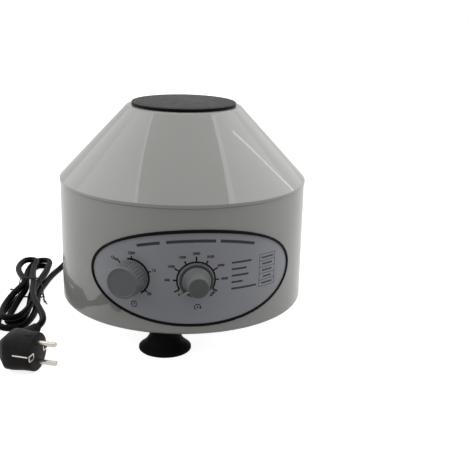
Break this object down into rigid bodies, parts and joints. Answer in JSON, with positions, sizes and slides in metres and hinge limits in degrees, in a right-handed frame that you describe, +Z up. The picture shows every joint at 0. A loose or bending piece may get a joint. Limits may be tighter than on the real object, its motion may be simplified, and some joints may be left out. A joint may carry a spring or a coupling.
{
  "type": "bench centrifuge",
  "caption": "Bench centrifuge: round housing with a conical cover, lift-off lid, angle rotor, timer and speed knobs on an oval panel, suction feet and a hanked mains cord with its plug.",
  "frame": {"origin": "where the spin axis meets the bench that the feet stand on", "axes": "+Z up along the spin axis, -Y towards the middle of the control panel"},
  "size_m": [0.3329, 0.3231, 0.2347],
  "materials": {
    "housing": "smooth grey enamel-like plastic",
    "lid": "dark grey plastic",
    "rubber": "matt black rubber",
    "steel": "bright steel",
    "panel": "grey printed film",
    "trim": "black",
    "aluminium": "satin aluminium",
    "cast": "die-cast aluminium",
    "iron": "laminated iron",
    "copper": "copper",
    "brass": "brass",
    "carbon": "carbon",
    "black": "black plastic",
    "board": "printed circuit board",
    "white": "white plastic",
    "cord": "black cord sheath",
    "sleeve": "drawn aluminium",
    "knob": "dark grey plastic"
  },
  "bodies": {
    "housing": {"base_plate": "steel", "bowl_pillars": "steel", "bowl_screws": "steel", "brush_holders": "brass", "carbon_brushes": "carbon", "chamber_bowl": "aluminium", "control_board": "board", "cord_grip": "black", "cord_hank": "cord", "cord_tie": "black", "damper_bolts": "steel", "field_coils": "copper", "filter_capacitor": "black", "foot_front": "rubber", "foot_left": "rubber", "foot_nuts": "steel", "foot_right": "rubber", "foot_studs": "steel", "fuse_cap": "black", "fuse_holder": "black", "heat_sink": "aluminium", "housing_screws": "steel", "lower_bearing": "steel", "lower_housing": "housing", "mains_cord": "cord", "motor_can": "steel", "motor_dampers": "rubber", "motor_lower_bell": "cast", "motor_plate": "steel", "motor_upper_bell": "cast", "panel_plate": "panel", "panel_trim": "trim", "plug_body": "cord", "plug_earth_strips": "steel", "plug_pins": "steel", "speed_control": "black", "speed_control_nut": "steel", "stator_core": "iron", "terminal_block": "white", "timer_mechanism": "black", "timer_nut": "steel", "top_cover": "housing", "upper_bearing": "steel"},
    "lid": {"lid": "lid"},
    "rotor": {"rotor_head": "aluminium", "tube_sleeve_1": "sleeve", "tube_sleeve_2": "sleeve", "tube_sleeve_3": "sleeve", "tube_sleeve_4": "sleeve", "tube_sleeve_5": "sleeve", "tube_sleeve_6": "sleeve", "rotor_nut": "steel", "motor_shaft": "steel", "armature": "iron", "commutator": "copper"},
    "timer_knob": {"timer_knob": "knob", "timer_spindle": "steel"},
    "speed_knob": {"speed_knob": "knob", "speed_spindle": "steel"}
  },
  "joints": [
    {"name": "lid_lift", "type": "slide", "parent": "housing", "child": "lid", "axis": [0, 0, 1], "range_m": [0, 0.14]},
    {"name": "rotor_spin", "type": "hinge", "parent": "housing", "child": "rotor", "pos_m": [0, 0, 0.15], "axis": [0, 0, 1], "continuous": true},
    {"name": "timer_turn", "type": "hinge", "parent": "housing", "child": "timer_knob", "pos_m": [-0.06541, -0.12378, 0.0819], "axis": [0.4672, 0.8841, 0], "range_deg": [-30, 130]},
    {"name": "speed_turn", "type": "hinge", "parent": "housing", "child": "speed_knob", "pos_m": [0, -0.14, 0.0819], "axis": [0, 1, 0], "range_deg": [0, 270]}
  ]
}
